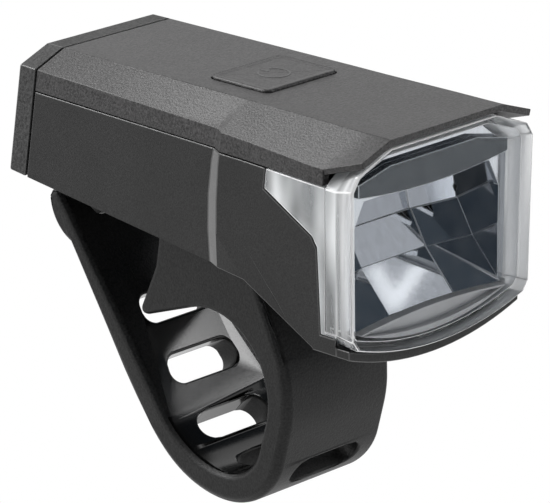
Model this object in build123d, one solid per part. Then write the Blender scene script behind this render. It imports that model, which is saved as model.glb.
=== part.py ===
from build123d import *
import os
from math import atan2, cos, degrees, radians, sin

# Battery bicycle headlight with a rubber strap mount, in millimetres.
# The origin is the middle of the handlebar's axis, X runs along the bar,
# the lamp shines towards -Y and +Z is up. Stations are distances behind
# the visor's tip, and drops are distances below the flat top.

os.makedirs("parts", exist_ok=True)

# Handlebar and the strap's bore
bar_diameter = 31.8
bar_clearance = 0.1
bore_radius = bar_diameter / 2 + bar_clearance

# Where the lamp sits over the bar
visor_reach = 49.9
top_height = 62.4

# Overruns, clearances and the side counts of small round parts
small_side_count = 12
key_side_count = 6
cut_overrun = 5.0
far_side = 60.0
seam_gap = 0.25
part_clearance = 0.3
slide_clearance = 0.2
screw_clearance = 0.15

# Casing: one closed form, cut into cover, shell, cap and lens
casing_wall = 2.0
body_length = 95.2
rear_slant = 1.9
rear_top_half = 15.0
rear_crease_half = 22.4
rear_crease_drop = 3.0
rear_floor_half = 24.2
rear_floor_drop = 25.0
band_station = 39.55
band_slant = 0.45
band_bow = 1.4
band_width = 2.4
band_front_slant = 0.0
band_front_bow = 0.8
band_top_half = 15.7
band_crease_drop = 4.7
band_step = 1.6
side_shares = (0.25, 0.5, 0.75)
knee_station = 30.1
knee_floor_drop = 32.7
knee_crease_drop = 5.0
front_floor_half_gain = 1.0
belly_station = 12.4
belly_floor_drop = 42.4
front_station = 6.1
front_top_half = 16.1
front_crease_half = 25.0
front_crease_drop = 5.8
front_floor_half = 24.6
front_floor_drop = 42.7
floor_bow = 4.3
cap_depth = 4.8
cap_station = body_length - cap_depth
cap_slant = 1.95
cap_edge = 0.5
seal_thickness = 0.6
seal_inset = 1.0
seal_width = 1.4

# Shares by which an inset follows the outline's corners
top_inset_share = 0.35
crease_inset_share = 0.8

# Seam between cover and lower shell, seen from the side
seam_front_drop = 9.3
seam_rear_drop = 7.4

# Visor, the cover's thin front edge
visor_start = 9.4
visor_wall = 1.3
visor_tip_half = 24.3
visor_tip_drop = 2.8
visor_corner_lean = 0.4

# Front lens: a clear tray with a wedge window on each side
lens_wall = 1.8
lens_face = 0.75
lens_flare_station = 6.1
lens_collar_end = 8.8
lens_top_half = 15.2
lens_top_drop = 2.1
lens_front_shoulder_half = 24.6
lens_front_shoulder_drop = 5.5
lens_front_side_half = 26.4
lens_front_side_drop = 8.3
lens_rear_shoulder_half = 23.4
lens_rear_shoulder_drop = 8.0
lens_rear_side_half = 25.1
lens_rear_side_drop = 9.6
lens_front_lower_half = 25.8
lens_rear_lower_half = 24.7
lens_lower_drop = 38.4
lens_corner_inset = 1.6
lens_corner_drop = 40.6
lens_bottom_drop = 44.6
lens_edge_round = 0.7
lens_edge_share = 0.3
window_rear_top = 24.8
window_rear_low = 25.2
window_rear_drop = 13.1
window_knee_station = 12.3
window_knee_drop = 19.8
window_strip_station = 11.0
window_strip_drop = 21.8
window_foot_station = 10.1

# Chin: the shell's lip under the lens
chin_station = 2.7
chin_side_drop = 40.9
chin_wall = 2.0

# Reflector: three by three flat facets, stepped from one to the next
facet_columns = (-21.0, -9.3, 9.3, 21.0)
facet_rows = (12.9, 23.6, 30.4, 38.3)
reflector_depth = 19.8
reflector_focus_drop = 13.9
bowl_radius_across = 100.0
bowl_radius_down = 21.74
reflector_wall = 1.5
reflector_side_wall = 1.0
flange_station = 5.2
flange_thickness = 1.2
mouth_top_half = 18.0
mouth_shoulder_drop = 18.6
reflector_roof_end = 21.6
reflector_roof_drop = 11.6
led_window_length = 7.0
led_window_width = 8.0
liner_end = 25.8
liner_top_drop = 9.9
liner_foot_drop = 15.6
liner_knee_station = 16.0
liner_knee_drop = 21.4

# Shade over the reflector's mouth and sill below it
shade_half = 21.5
shade_top_half = 12.5
shade_top_drop = 6.6
shade_side_drop = 8.6
shade_low_drop = 11.3
shade_bow = 1.5
shade_thickness = 1.8
sill_front_station = 3.0
sill_half = 21.0
sill_top_drop = 37.3
sill_end_drop = 38.6
sill_dish_half = 19.6
sill_dish_depth = 1.3
sill_dish_top_drop = 37.7
sill_dish_end_drop = 39.0
sill_dish_low_drop = 41.2

# Light source
led_station = 11.2
led_board_length = 11.0
led_board_width = 14.0
led_board_thickness = 1.2
led_size = 3.4
led_height = 0.7
led_dome_radius = 1.3
heat_sink_length = 15.0
heat_sink_width = 26.0
heat_sink_base = 1.8
fin_height = 4.0
fin_thickness = 1.0
fin_count = 7

# Power button
button_station = 45.8
button_length = 16.2
button_width = 20.8
button_corner = 1.6
button_gap = 0.25
button_rise = 0.5
button_lip = 1.0
button_lip_thickness = 0.9
button_stem_radius = 1.8
button_travel = 0.6

# Main board and what it carries
board_start = 30.5
board_cap_gap = 2.4
board_end = cap_station - board_cap_gap
board_half = 13.5
board_thickness = 1.2
board_boss_radius = 2.4
board_screw_radius = 1.0
board_screw_head_radius = 1.9
board_screw_head = 1.2
board_screw_half = 10.6
board_screw_front_inset = 3.1
board_screw_rear_inset = 12.0
board_screw_front = board_start + board_screw_front_inset
board_screw_rear = board_end - board_screw_rear_inset
switch_side = 6.0
switch_height = 3.0
plunger_radius = 1.6
plunger_height = 1.2
plunger_depth = 0.8
plunger_clearance = 0.1
chip_length = 6.0
chip_width = 5.0
chip_height = 1.2
chip_spacing = 16.0
chip_station = board_screw_rear - chip_spacing
coil_radius = 3.2
coil_height = 3.0
coil_spacing = 7.0
coil_station = board_screw_rear - coil_spacing
coil_offset = 6.0
plug_length = 6.0
plug_width = 7.5
plug_height = 4.2
plug_inset = 2.1
plug_station = board_start + plug_inset

# Charging socket
socket_width = 8.9
socket_height = 3.2
socket_length = 7.3
socket_wall = 0.4
socket_tongue = 0.7
socket_proud = 0.5
socket_reach = cap_station + socket_proud

# Flap over the charging socket
flap_width = 15.0
flap_height = 7.4
flap_thickness = 1.4
flap_top_drop = 4.2
flap_gap = 0.3
flap_plug_depth = 0.9
flap_plug_clearance = 0.5
flap_barrel_radius = 0.9
flap_pin_radius = 0.4
flap_pin_clearance = 0.1
flap_pin_reach = 1.4
flap_nib = 0.7
port_margin = 0.5

# The board hangs right under the socket
port_drop = flap_top_drop + flap_height / 2
board_drop = port_drop + socket_height / 2

# Battery and its tray
battery_front = 39.0
battery_cap_gap = 5.4
battery_length = cap_station - battery_cap_gap - battery_front
battery_width = 30.0
battery_height = 9.5
battery_round = 2.0
tray_wall = 1.2
tray_floor_gap = 0.05
tray_side_height = 6.0
battery_clearance = 0.4
tab_width = 4.0
tab_length = 3.0
tab_thickness = 0.3
tab_offset = 6.0

# Screws that close the casing from below
post_radius = 3.2
post_half = 19.6
post_front_station = 34.5
post_cap_gap = 10.9
post_rear_station = cap_station - post_cap_gap
case_screw_radius = 1.2
case_screw_head_radius = 2.1
case_screw_head = 1.6
case_screw_length = 9.0
case_screw_grip = 5.0
socket_key_radius = 0.9
socket_key_depth = 0.8

# Screws that hold the rear cap
cap_screw_half = 18.8
cap_screw_drop = 15.5
cap_screw_length = 8.0
cap_boss_length = 7.0
cap_boss_radius = 2.6

# Slide rail between lamp and mount, square to the sloping floor
shoe_gap = 4.8
plate_thickness = 1.6
plate_half = 13.6
plate_front_reach = 11.0
plate_rear = 35.4
rail_neck_half = 6.0
rail_head_half = 9.0
rail_head_thickness = 1.3
rail_front_reach = 9.0
rail_start = -rail_front_reach
rail_length = 32.0
claw_wall = 2.0
claw_foot_thickness = 1.1
stop_thickness = 2.0

# Hook behind the saddle
hook_half = 5.6
hook_thickness = 2.6
hook_prong_height = 2.8
hook_lip = 1.2

# Rubber strap
strap_width = 30.6
strap_thickness = 3.6
strap_front_thickness = 6.2
strap_rim_step = 1.4
strap_rim_width = 1.2
strap_run_angle = 54.5
bore_start_angle = 70.0
bore_end_angle = 198.0
front_wall_turn = 21.0
front_drop_run = 5.8
lower_radius = 11.1
saddle_foot_y = 18.1
saddle_foot_step = 1.6
saddle_waist_y = 14.6
saddle_waist_z = 22.5
saddle_top_y = 13.8
saddle_front_reach = 12.9
saddle_chest_reach = 20.6
saddle_chest_z = 10.3
saddle_bulge = 0.3
saddle_bulge_turn = 11.0
strap_end = 50.4
tab_nose = 0.9
tab_half_length = 5.2
tab_bulge = 1.5
slot_length = 19.2
slot_height = 6.4
slot_pitch = 13.7
slot_count = 5
first_slot_distance = 21.2
hook_distance = 45.2
hook_slot_height = 4.2
hook_slot_length = 17.0
strap_edge = 0.8

# Screws between saddle and mount plate
saddle_screw_spacing = 14.0
saddle_screw_middle = 1.0
saddle_boss_radius = 3.2
saddle_boss_length = 5.0
saddle_screw_radius = 1.4
saddle_grip = 2.0
saddle_screw_length = 8.0
saddle_screw_head = 1.8
saddle_screw_head_radius = 2.8

floor_slope = (knee_floor_drop - rear_floor_drop) / (body_length + rear_slant - knee_station)
floor_angle = degrees(atan2(floor_slope, 1))


def back(station):
    """The Y of a station behind the visor's tip."""
    return station - visor_reach


def down(drop):
    """The Z of a drop below the flat top."""
    return top_height - drop


def seam_drop(station):
    """How far the side seam lies below the top at a station."""
    share = (station - front_station) / (body_length - front_station)
    return seam_front_drop + share * (seam_rear_drop - seam_front_drop)


def blend(low, high, share):
    """A value part way from one to another."""
    return low + share * (high - low)


def flat_face(points):
    """A closed face through points that lie in one plane."""
    return make_face(Polyline(*points, close=True))


def side_prism(points, inner=-far_side, outer=far_side):
    """A side-view outline of stations and drops, pushed across the lamp."""
    outline = flat_face([(inner, back(station), down(drop)) for station, drop in points])
    return extrude(outline, amount=outer - inner, dir=(1, 0, 0))


def block(x_range, station_range, drop_range):
    """A square block between two sides, two stations and two drops."""
    width = x_range[1] - x_range[0]
    length = station_range[1] - station_range[0]
    height = drop_range[1] - drop_range[0]
    middle = (
        sum(x_range) / 2,
        back(sum(station_range) / 2),
        down(sum(drop_range) / 2),
    )
    return Pos(*middle) * Box(width, length, height)


def small_bar(radius, length, sides=small_side_count):
    """A small round bar in flats, about the middle of its length."""
    return extrude(RegularPolygon(radius, sides), amount=length / 2, both=True)


def upright(x, station, radius, drop_range, sides=small_side_count):
    """A small round bar that stands upright between two drops."""
    height = drop_range[1] - drop_range[0]
    middle = Pos(x, back(station), down(sum(drop_range) / 2))
    return middle * small_bar(radius, height, sides)


def lengthwise(x, drop, radius, station_range, sides=small_side_count):
    """A small round bar that lies along the lamp between two stations."""
    length = station_range[1] - station_range[0]
    middle = Pos(x, back(sum(station_range) / 2), down(drop))
    return middle * Rot(90, 0, 0) * small_bar(radius, length, sides)


# Casing form: cross-sections that are joined by straight faces
def section_corners(station, slant, halves, drops, inset):
    """The corners of one side of a section, its lower end a slant further back."""
    top_half, crease_half, floor_half = halves
    crease_drop, floor_drop = drops
    corners = [
        (top_half - top_inset_share * inset, inset),
        (crease_half - inset, crease_drop + crease_inset_share * inset),
        (floor_half - inset, floor_drop - inset),
    ]
    placed = []
    for half, drop in corners:
        placed.append((half, back(station + slant * drop / floor_drop), down(drop)))
    return placed


def casing_ring(corners, side_bow=0.0):
    """A closed section through corners, its sides bowed to the rear."""
    top, crease, floor = corners
    right = [top, crease]
    for share in side_shares:
        rearward = 4 * side_bow * share * (1 - share)
        x, y, z = [blend(low, high, share) for low, high in zip(crease, floor)]
        right.append((x, y + rearward, z))
    right.append(floor)
    left = [(-x, y, z) for x, y, z in right]
    return Wire(Polyline(*reversed(left), *right, close=True).edges())


def casing_section(station, slant, halves, drops, bow=0.0, inset=0.0):
    """One cross-section, with its lower end a slant further back."""
    placed = section_corners(station, slant, halves, drops, inset)
    left = [(-x, y, z) for x, y, z in placed]
    sides = [Polyline(left[2], left[1], left[0], placed[0], placed[1], placed[2])]
    if bow:
        lowest = (0, placed[2][1], placed[2][2] - bow)
        sides.append(ThreePointArc(placed[2], lowest, left[2]))
    else:
        sides.append(Line(placed[2], left[2]))
    return make_face(Curve() + sides)


def floor_drop_at(station):
    """The drop of the sloping floor behind the knee."""
    return knee_floor_drop - floor_slope * (station - knee_station)


def rear_sizes(station, slant):
    """The half widths and drops of the plain rear body at a station."""
    share = (station - band_station) / (body_length - band_station)
    halves = (
        blend(band_top_half, rear_top_half, share),
        rear_crease_half,
        rear_floor_half,
    )
    drops = (
        blend(band_crease_drop, rear_crease_drop, share),
        floor_drop_at(station + slant),
    )
    return (halves, drops)


def rear_section(station, slant, inset=0.0):
    """A cross-section of the plain rear body."""
    halves, drops = rear_sizes(station, slant)
    return casing_section(station, slant, halves, drops, 0, inset)


head_crease_half = rear_crease_half + band_step
head_floor_half = rear_floor_half + front_floor_half_gain
head_halves = (band_top_half, head_crease_half, head_floor_half)


def rear_rings(rear_station, slant, inset):
    """Closed sections from a rear station, over the bowed band, to the knee."""
    band_front = band_station - band_width
    band_front_drops = (band_crease_drop, floor_drop_at(band_front + band_front_slant))
    knee_drops = (knee_crease_drop, knee_floor_drop)
    rows = [
        (rear_station, slant, *rear_sizes(rear_station, slant), 0),
        (band_station, band_slant, *rear_sizes(band_station, band_slant), band_bow),
        (band_front, band_front_slant, head_halves, band_front_drops, band_front_bow),
        (knee_station, 0, head_halves, knee_drops, 0),
    ]
    return [
        casing_ring(section_corners(station, lean, halves, drops, inset), side_bow)
        for station, lean, halves, drops, side_bow in rows
    ]


def front_sections(inset=0.0):
    """The cross-sections of the wider head, from the knee forwards."""
    return [
        casing_section(
            knee_station,
            0,
            head_halves,
            (knee_crease_drop, knee_floor_drop),
            0,
            inset,
        ),
        casing_section(
            belly_station,
            0,
            (front_top_half, front_crease_half, front_floor_half),
            (front_crease_drop, belly_floor_drop),
            floor_bow,
            inset,
        ),
        casing_section(
            front_station,
            0,
            (front_top_half, front_crease_half, front_floor_half),
            (front_crease_drop, front_floor_drop),
            floor_bow,
            inset,
        ),
    ]


def casing(rear_station, slant, inset=0.0):
    """The closed form from a rear station to the head's front."""
    head = front_sections(inset)
    form = Part() + Solid.make_loft(rear_rings(rear_station, slant, inset), ruled=True)
    for first, second in zip(head, head[1:]):
        form += loft([first, second], ruled=True)
    return form


def seam_cutter(offset):
    """Everything above the side seam, moved down by an offset."""
    ahead = -cut_overrun
    behind = body_length + rear_slant + cut_overrun
    return side_prism(
        [
            (ahead, -cut_overrun),
            (behind, -cut_overrun),
            (behind, seam_drop(behind) + offset),
            (ahead, seam_drop(ahead) + offset),
        ]
    )


outer_form = casing(cap_station - seal_thickness, cap_slant)
inner_form = casing(cap_station + cut_overrun, cap_slant, casing_wall)
fit_form = casing(cap_station, cap_slant, casing_wall + seam_gap)


def lens_outline(station, share, inset):
    """The lens's front-view outline, from its face (0) to its rear edge (1)."""
    lower_half = blend(lens_front_lower_half, lens_rear_lower_half, share)
    corners = [
        (lens_top_half - top_inset_share * inset, lens_top_drop + inset),
        (
            blend(lens_front_shoulder_half, lens_rear_shoulder_half, share)
            - crease_inset_share * inset,
            blend(lens_front_shoulder_drop, lens_rear_shoulder_drop, share)
            + crease_inset_share * inset,
        ),
        (
            blend(lens_front_side_half, lens_rear_side_half, share) - inset,
            blend(lens_front_side_drop, lens_rear_side_drop, share)
            + top_inset_share * inset,
        ),
        (lower_half - inset, lens_lower_drop - top_inset_share * inset),
        (
            lower_half - lens_corner_inset - crease_inset_share * inset,
            lens_corner_drop - crease_inset_share * inset,
        ),
    ]
    right = [(x, back(station), down(drop)) for x, drop in corners]
    left = [(-x, y, z) for x, y, z in right]
    lowest = (0, back(station), down(lens_bottom_drop - inset))
    outline = Polyline(*reversed(left), *right)
    return make_face(Curve() + [outline, ThreePointArc(right[-1], lowest, left[-1])])


def lens_tray(inset, face_station, end_station, edge=0.0):
    """The lens's solid form, flared behind its eased face and straight at its end."""
    edge_share = edge / (lens_flare_station - lens_face)
    rings = [lens_outline(face_station, 0, inset + edge)]
    if edge:
        first_share = lens_edge_share * edge_share
        first = edge * lens_edge_share
        rings.append(lens_outline(face_station + first, first_share, inset + first))
        rings.append(lens_outline(face_station + edge, edge_share, inset))
    rings.append(lens_outline(lens_flare_station, 1, inset))
    tray = loft(rings, ruled=True)
    collar = lens_outline(lens_flare_station, 1, inset)
    tray += extrude(collar, amount=end_station - lens_flare_station, dir=(0, 1, 0))
    return tray


def window_profile(grow):
    """The side window in side view, grown all round for a gap."""
    return side_prism(
        [
            (front_station, seam_drop(front_station) + seam_gap - grow),
            (window_rear_top + grow, seam_drop(window_rear_top) + seam_gap - grow),
            (window_rear_low + grow, window_rear_drop + grow),
            (window_knee_station + grow, window_knee_drop + grow),
            (window_strip_station + grow, window_strip_drop + grow),
            (window_foot_station + grow, lens_corner_drop - lens_corner_inset + grow),
            (front_station, lens_corner_drop - lens_corner_inset + grow),
        ]
    )


# Front lens
lens_inner_form = casing(body_length, cap_slant, lens_wall)
lens_sides = (outer_form - lens_inner_form) & window_profile(0)
lens_ahead = side_prism(
    [
        (-cut_overrun, -cut_overrun),
        (front_station, -cut_overrun),
        (front_station, front_floor_drop + floor_bow + cut_overrun),
        (-cut_overrun, front_floor_drop + floor_bow + cut_overrun),
    ]
)
tray_shell = lens_tray(0, lens_face, lens_collar_end, lens_edge_round)
tray_shell -= lens_tray(lens_wall, lens_face + lens_wall, lens_collar_end + cut_overrun)
front_lens = tray_shell + lens_sides


# Top cover with its visor
def visor_section(station, crease_half, crease_drop):
    """A thin bent strip across the cover at one station."""
    outer = [(front_top_half, 0), (crease_half, crease_drop)]
    inner = [
        (crease_half - visor_corner_lean, crease_drop + visor_wall),
        (front_top_half - visor_corner_lean, visor_wall),
    ]
    right = [(x, back(station), down(drop)) for x, drop in outer + inner]
    left = [(-x, y, z) for x, y, z in right]
    return flat_face([left[1], left[0], right[0], right[1], right[2], right[3], left[3], left[2]])


visor = loft(
    [
        visor_section(0, visor_tip_half, visor_tip_drop),
        visor_section(visor_start, front_crease_half, front_crease_drop),
    ],
    ruled=True,
)
cover_trim = side_prism(
    [
        (-cut_overrun, -cut_overrun),
        (visor_start, -cut_overrun),
        (visor_start, front_crease_drop),
        (visor_start + seam_gap, seam_front_drop + cut_overrun),
        (-cut_overrun, seam_front_drop + cut_overrun),
    ]
)
button_opening = block(
    (-button_width / 2, button_width / 2),
    (button_station - button_length / 2, button_station + button_length / 2),
    (-cut_overrun, casing_wall + cut_overrun),
)
button_opening = fillet(button_opening.edges().filter_by(Axis.Z), button_corner)
top_cover = (outer_form & seam_cutter(0)) - inner_form - cover_trim
top_cover += visor
top_cover -= button_opening

board_screw_places = [
    (side * board_screw_half, station)
    for side in (-1, 1)
    for station in (board_screw_front, board_screw_rear)
]
for x, station in board_screw_places:
    boss = upright(x, station, board_boss_radius, (casing_wall / 2, board_drop))
    pilot = upright(
        x,
        station,
        board_screw_radius + screw_clearance,
        (casing_wall, board_drop + cut_overrun),
    )
    top_cover = top_cover + boss - pilot

post_places = [
    (side * post_half, station)
    for side in (-1, 1)
    for station in (post_front_station, post_rear_station)
]
for x, station in post_places:
    level = seam_drop(station) + case_screw_grip / 2
    boss = upright(x, station, post_radius, (casing_wall, seam_drop(station))) & outer_form
    boss &= seam_cutter(0)
    boss += upright(x, station, post_radius, (casing_wall + seam_gap, level)) & fit_form
    pilot = upright(
        x,
        station,
        case_screw_radius + screw_clearance,
        (level - case_screw_grip - screw_clearance, level + cut_overrun),
    )
    top_cover = top_cover + boss - pilot

# Lower shell with its chin, posts and slide claws
floor_origin = (0, 0, down(floor_drop_at(visor_reach)))
floor_plane = Plane(
    origin=floor_origin,
    x_dir=(1, 0, 0),
    z_dir=(0, -sin(radians(floor_angle)), cos(radians(floor_angle))),
)


def under_floor(x_range, y_range, z_range):
    """A block set square to the sloping floor, with z measured up from it."""
    middle = (sum(x_range) / 2, sum(y_range) / 2, sum(z_range) / 2)
    size = (x_range[1] - x_range[0], y_range[1] - y_range[0], z_range[1] - z_range[0])
    return floor_plane.location * Pos(*middle) * Box(*size)


chin_side = [
    (front_floor_half, back(chin_station), down(chin_side_drop)),
    (front_floor_half, back(chin_station), down(front_floor_drop)),
]
chin_low = (0, back(chin_station), down(front_floor_drop + floor_bow))
chin_high = (0, back(chin_station), down(lens_bottom_drop + part_clearance))
chin_left = [(-x, y, z) for x, y, z in chin_side]
chin_outline = Curve() + [
    Line(chin_side[0], chin_side[1]),
    ThreePointArc(chin_side[1], chin_low, chin_left[1]),
    Line(chin_left[1], chin_left[0]),
    ThreePointArc(chin_left[0], chin_high, chin_side[0]),
]
chin = extrude(make_face(chin_outline), amount=belly_station - chin_station, dir=(0, 1, 0))

shell_form = outer_form - seam_cutter(seam_gap)
lower_shell = shell_form - inner_form - window_profile(seam_gap)
lower_shell -= lens_tray(-seam_gap, lens_face, lens_collar_end + part_clearance)
lower_shell += chin - inner_form
for x, station in post_places:
    level = seam_drop(station) + case_screw_grip / 2 + seam_gap
    post = upright(x, station, post_radius, (level, knee_floor_drop)) & outer_form
    hole = upright(
        x,
        station,
        case_screw_radius + screw_clearance,
        (level - cut_overrun, knee_floor_drop + cut_overrun),
    )
    head_well = upright(
        x,
        station,
        case_screw_head_radius + screw_clearance,
        (level + case_screw_length - case_screw_grip, knee_floor_drop + cut_overrun),
    )
    lower_shell = lower_shell + post - hole - head_well

claw_half = rail_head_half + slide_clearance
claw_low = -slide_clearance * 2 - rail_head_thickness - claw_foot_thickness
for side in (-1, 1):
    wall_range = sorted((side * claw_half, side * (claw_half + claw_wall)))
    foot_range = sorted((side * (rail_neck_half + slide_clearance), side * claw_half))
    length_range = (rail_start - slide_clearance - stop_thickness, rail_start + rail_length)
    lower_shell += under_floor(wall_range, length_range, (claw_low, casing_wall / 2))
    lower_shell += under_floor(
        foot_range,
        length_range,
        (claw_low, claw_low + claw_foot_thickness),
    )
lower_shell += under_floor(
    (-claw_half, claw_half),
    (rail_start - slide_clearance - stop_thickness, rail_start - slide_clearance),
    (claw_low, casing_wall / 2),
)

cap_screw_places = [side * cap_screw_half for side in (-1, 1)]
shell_end = cap_station - seal_thickness
for x in cap_screw_places:
    boss = lengthwise(
        x,
        cap_screw_drop,
        cap_boss_radius,
        (shell_end - cap_boss_length, shell_end + cap_slant),
    )
    boss &= outer_form
    pilot = lengthwise(
        x,
        cap_screw_drop,
        case_screw_radius + screw_clearance,
        (shell_end - cap_boss_length + casing_wall, shell_end + cut_overrun),
    )
    lower_shell = lower_shell + boss - pilot

# Rear cap and its seal
cap_form = loft(
    [rear_section(cap_station, cap_slant), rear_section(body_length, rear_slant)],
    ruled=True,
)
cap_back = cap_form.faces().sort_by(Axis.Y)[-1]
cap_form = chamfer(cap_back.edges(), cap_edge)
cap_hollow = loft(
    [
        rear_section(cap_station - cut_overrun, cap_slant, casing_wall + seal_width),
        rear_section(body_length - casing_wall - flap_thickness, rear_slant, casing_wall + seal_width),
    ],
    ruled=True,
)
port_half = socket_width / 2 + port_margin
port_half_height = socket_height / 2 + port_margin
cap_through = (cap_station - cut_overrun, body_length + rear_slant + cut_overrun)
port_hole = block(
    (-port_half, port_half),
    cap_through,
    (port_drop - port_half_height, port_drop + port_half_height),
)
flap_back = body_length
flap_front = flap_back - flap_thickness
hinge_drop = flap_top_drop + flap_height
hinge_station = flap_back - flap_barrel_radius
flap_well = block(
    (-flap_width / 2 - flap_gap, flap_width / 2 + flap_gap),
    (flap_front - flap_gap, body_length + rear_slant + cut_overrun),
    (flap_top_drop - flap_gap, hinge_drop),
)
barrel_clear = flap_barrel_radius + flap_gap
barrel_trough = (
    Pos(0, back(hinge_station), down(hinge_drop))
    * Rot(0, 90, 0)
    * Cylinder(barrel_clear, flap_width + 2 * flap_gap)
)
trough_mouth = block(
    (-flap_width / 2 - flap_gap, flap_width / 2 + flap_gap),
    (hinge_station, body_length + rear_slant + cut_overrun),
    (hinge_drop, hinge_drop + barrel_clear),
)
pin_half = flap_width / 2 + flap_gap + flap_pin_reach
pin_bore = (
    Pos(0, back(hinge_station), down(hinge_drop))
    * Rot(0, 90, 0)
    * Cylinder(flap_pin_radius, 2 * pin_half)
)
rear_cap = cap_form - (cap_hollow & cap_form)
rear_cap += block(
    (-flap_width / 2 - flap_gap - casing_wall, flap_width / 2 + flap_gap + casing_wall),
    (flap_front - flap_gap - casing_wall, flap_front),
    (flap_top_drop - flap_gap, hinge_drop + barrel_clear + casing_wall),
)
rear_cap = rear_cap - port_hole - flap_well - barrel_trough - trough_mouth - pin_bore
for x in cap_screw_places:
    pillar = lengthwise(x, cap_screw_drop, cap_boss_radius, (cap_station, body_length)) & cap_form
    well = lengthwise(
        x,
        cap_screw_drop,
        case_screw_head_radius + screw_clearance,
        (body_length - case_screw_head, body_length + cut_overrun),
    )
    hole = lengthwise(x, cap_screw_drop, case_screw_radius + screw_clearance, cap_through)
    rear_cap = rear_cap + pillar - well - hole

seal_outer = loft(
    [
        rear_section(cap_station - seal_thickness, cap_slant, seal_inset),
        rear_section(cap_station, cap_slant, seal_inset),
    ],
    ruled=True,
)
seal_inner = loft(
    [
        rear_section(cap_station - cut_overrun, cap_slant, seal_inset + seal_width),
        rear_section(body_length, cap_slant, seal_inset + seal_width),
    ],
    ruled=True,
)
cap_seal = seal_outer - seal_inner


# Reflector: each facet is a flat plate on the bowl's tangent plane
def bowl_station(x, drop):
    """The smooth bowl's station at a place in front view."""
    across = x**2 / (2 * bowl_radius_across)
    along = (drop - reflector_focus_drop) ** 2 / (2 * bowl_radius_down)
    return reflector_depth - across - along


def facet(x_low, x_high, drop_low, drop_high):
    """One flat facet, a plate of the reflector's wall."""
    x_middle = (x_low + x_high) / 2
    drop_middle = (drop_low + drop_high) / 2
    slope_x = -x_middle / bowl_radius_across
    slope_drop = -(drop_middle - reflector_focus_drop) / bowl_radius_down
    corners = []
    for x, drop in (
        (x_low, drop_low),
        (x_high, drop_low),
        (x_high, drop_high),
        (x_low, drop_high),
    ):
        station = bowl_station(x_middle, drop_middle)
        station += slope_x * (x - x_middle) + slope_drop * (drop - drop_middle)
        corners.append((x, back(station), down(drop)))
    return extrude(flat_face(corners), amount=reflector_wall, dir=(0, 1, 0))


reflector_half = facet_columns[-1]
flange = lens_outline(flange_station, 1, lens_wall + part_clearance)
flange = extrude(flange, amount=flange_thickness, dir=(0, 1, 0))
mouth = flat_face(
    [
        (-mouth_top_half, back(flange_station), down(facet_rows[0])),
        (mouth_top_half, back(flange_station), down(facet_rows[0])),
        (reflector_half, back(flange_station), down(mouth_shoulder_drop)),
        (reflector_half, back(flange_station), down(facet_rows[-1])),
        (-reflector_half, back(flange_station), down(facet_rows[-1])),
        (-reflector_half, back(flange_station), down(mouth_shoulder_drop)),
    ]
)
reflector = flange - extrude(mouth, amount=flange_thickness, dir=(0, 1, 0))
for row_top, row_low in zip(facet_rows, facet_rows[1:]):
    for column_left, column_right in zip(facet_columns, facet_columns[1:]):
        reflector += facet(column_left, column_right, row_top, row_low)
side_profile = [
    (flange_station, facet_rows[0] - reflector_wall),
    (flange_station + flange_thickness, liner_top_drop),
    (liner_end, liner_top_drop),
    (liner_end, liner_foot_drop),
    (liner_knee_station, liner_knee_drop),
    (bowl_station(reflector_half, facet_rows[1]) + reflector_wall, facet_rows[1]),
    (bowl_station(reflector_half, facet_rows[2]) + reflector_wall, facet_rows[2]),
    (flange_station + flange_thickness, facet_rows[-1]),
    (flange_station, facet_rows[-1]),
]
for inner in (-reflector_half - reflector_side_wall, reflector_half):
    reflector += side_prism(side_profile, inner, inner + reflector_side_wall)
reflector_roof = block(
    (-reflector_half, reflector_half),
    (flange_station + flange_thickness / 2, reflector_roof_end),
    (reflector_roof_drop, facet_rows[0] + part_clearance),
)
led_window = block(
    (-led_window_width / 2, led_window_width / 2),
    (led_station - led_window_length / 2, led_station + led_window_length / 2),
    (reflector_roof_drop - cut_overrun, facet_rows[0] + cut_overrun),
)
reflector = reflector + reflector_roof - led_window

# Shade above the mouth, with its lower edge bowed down
shade_right = [
    (shade_top_half, back(flange_station), down(shade_top_drop)),
    (shade_half, back(flange_station), down(shade_side_drop)),
    (shade_half, back(flange_station), down(shade_low_drop)),
]
shade_left = [(-x, y, z) for x, y, z in shade_right]
shade_low = (0, back(flange_station), down(shade_low_drop + shade_bow))
shade_outline = Curve() + [
    Polyline(*reversed(shade_left), *shade_right),
    ThreePointArc(shade_right[-1], shade_low, shade_left[-1]),
]
reflector_shade = extrude(make_face(shade_outline), amount=shade_thickness, dir=(0, -1, 0))


# Sill below the mouth, with a shallow almond-shaped dish
def almond(station, half, end_drop, top_drop, low_drop, side_drop):
    """A face between an upper and a lower arc, its ends a side drop high."""
    right = (half, back(station), down(end_drop))
    left = (-half, back(station), down(end_drop))
    high = (0, back(station), down(top_drop))
    low = (0, back(station), down(low_drop))
    if side_drop == end_drop:
        return make_face(Curve() + [ThreePointArc(left, high, right), ThreePointArc(right, low, left)])
    low_right = (half, back(station), down(side_drop))
    low_left = (-half, back(station), down(side_drop))
    return make_face(
        Curve()
        + [
            ThreePointArc(left, high, right),
            Line(right, low_right),
            ThreePointArc(low_right, low, low_left),
            Line(low_left, left),
        ]
    )


sill_outline = almond(
    flange_station,
    sill_half,
    sill_end_drop,
    sill_top_drop,
    lens_bottom_drop - lens_wall - part_clearance,
    lens_corner_drop - lens_wall,
)
sill = extrude(sill_outline, amount=flange_station - sill_front_station, dir=(0, -1, 0))
dish = almond(
    sill_front_station,
    sill_dish_half,
    sill_dish_end_drop,
    sill_dish_top_drop,
    sill_dish_low_drop,
    sill_dish_end_drop,
)
lens_sill = sill - extrude(dish, amount=sill_dish_depth, dir=(0, 1, 0))

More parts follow.
